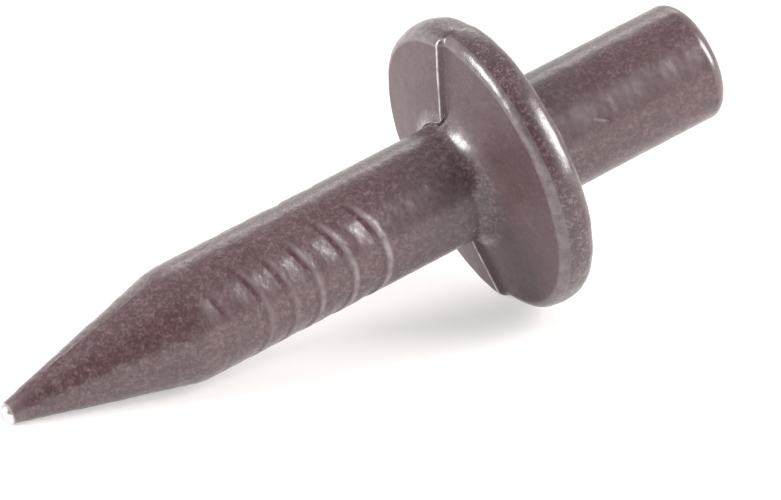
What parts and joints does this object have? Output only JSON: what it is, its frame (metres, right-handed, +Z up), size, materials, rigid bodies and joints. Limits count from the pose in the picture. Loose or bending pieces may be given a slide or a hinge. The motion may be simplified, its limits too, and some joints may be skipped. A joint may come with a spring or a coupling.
{
  "type": "powder-actuated drive pin",
  "caption": "Steel drive pin with a conical point, a grip-marked shank, a wide round collar and a plain driving stub behind it.",
  "frame": {"origin": "centre of the box that the lying pin fills, at the height of the surface it lies on", "axes": "+Z up from the surface; X along the pin as it lies, with the point towards -X; the pin's own axis rises towards +X; the parting plane of the heading dies is Y = 0"},
  "size_m": [0.0246, 0.0094, 0.0094],
  "materials": {
    "pin_steel": "dark heat-treated steel, finely mottled with scale",
    "collar_steel": "dark heat-treated steel, smoother and slightly oily"
  },
  "bodies": {
    "root": {"point": "pin_steel", "shank": "pin_steel", "collar": "collar_steel", "driving_stub": "pin_steel"}
  },
  "joints": []
}
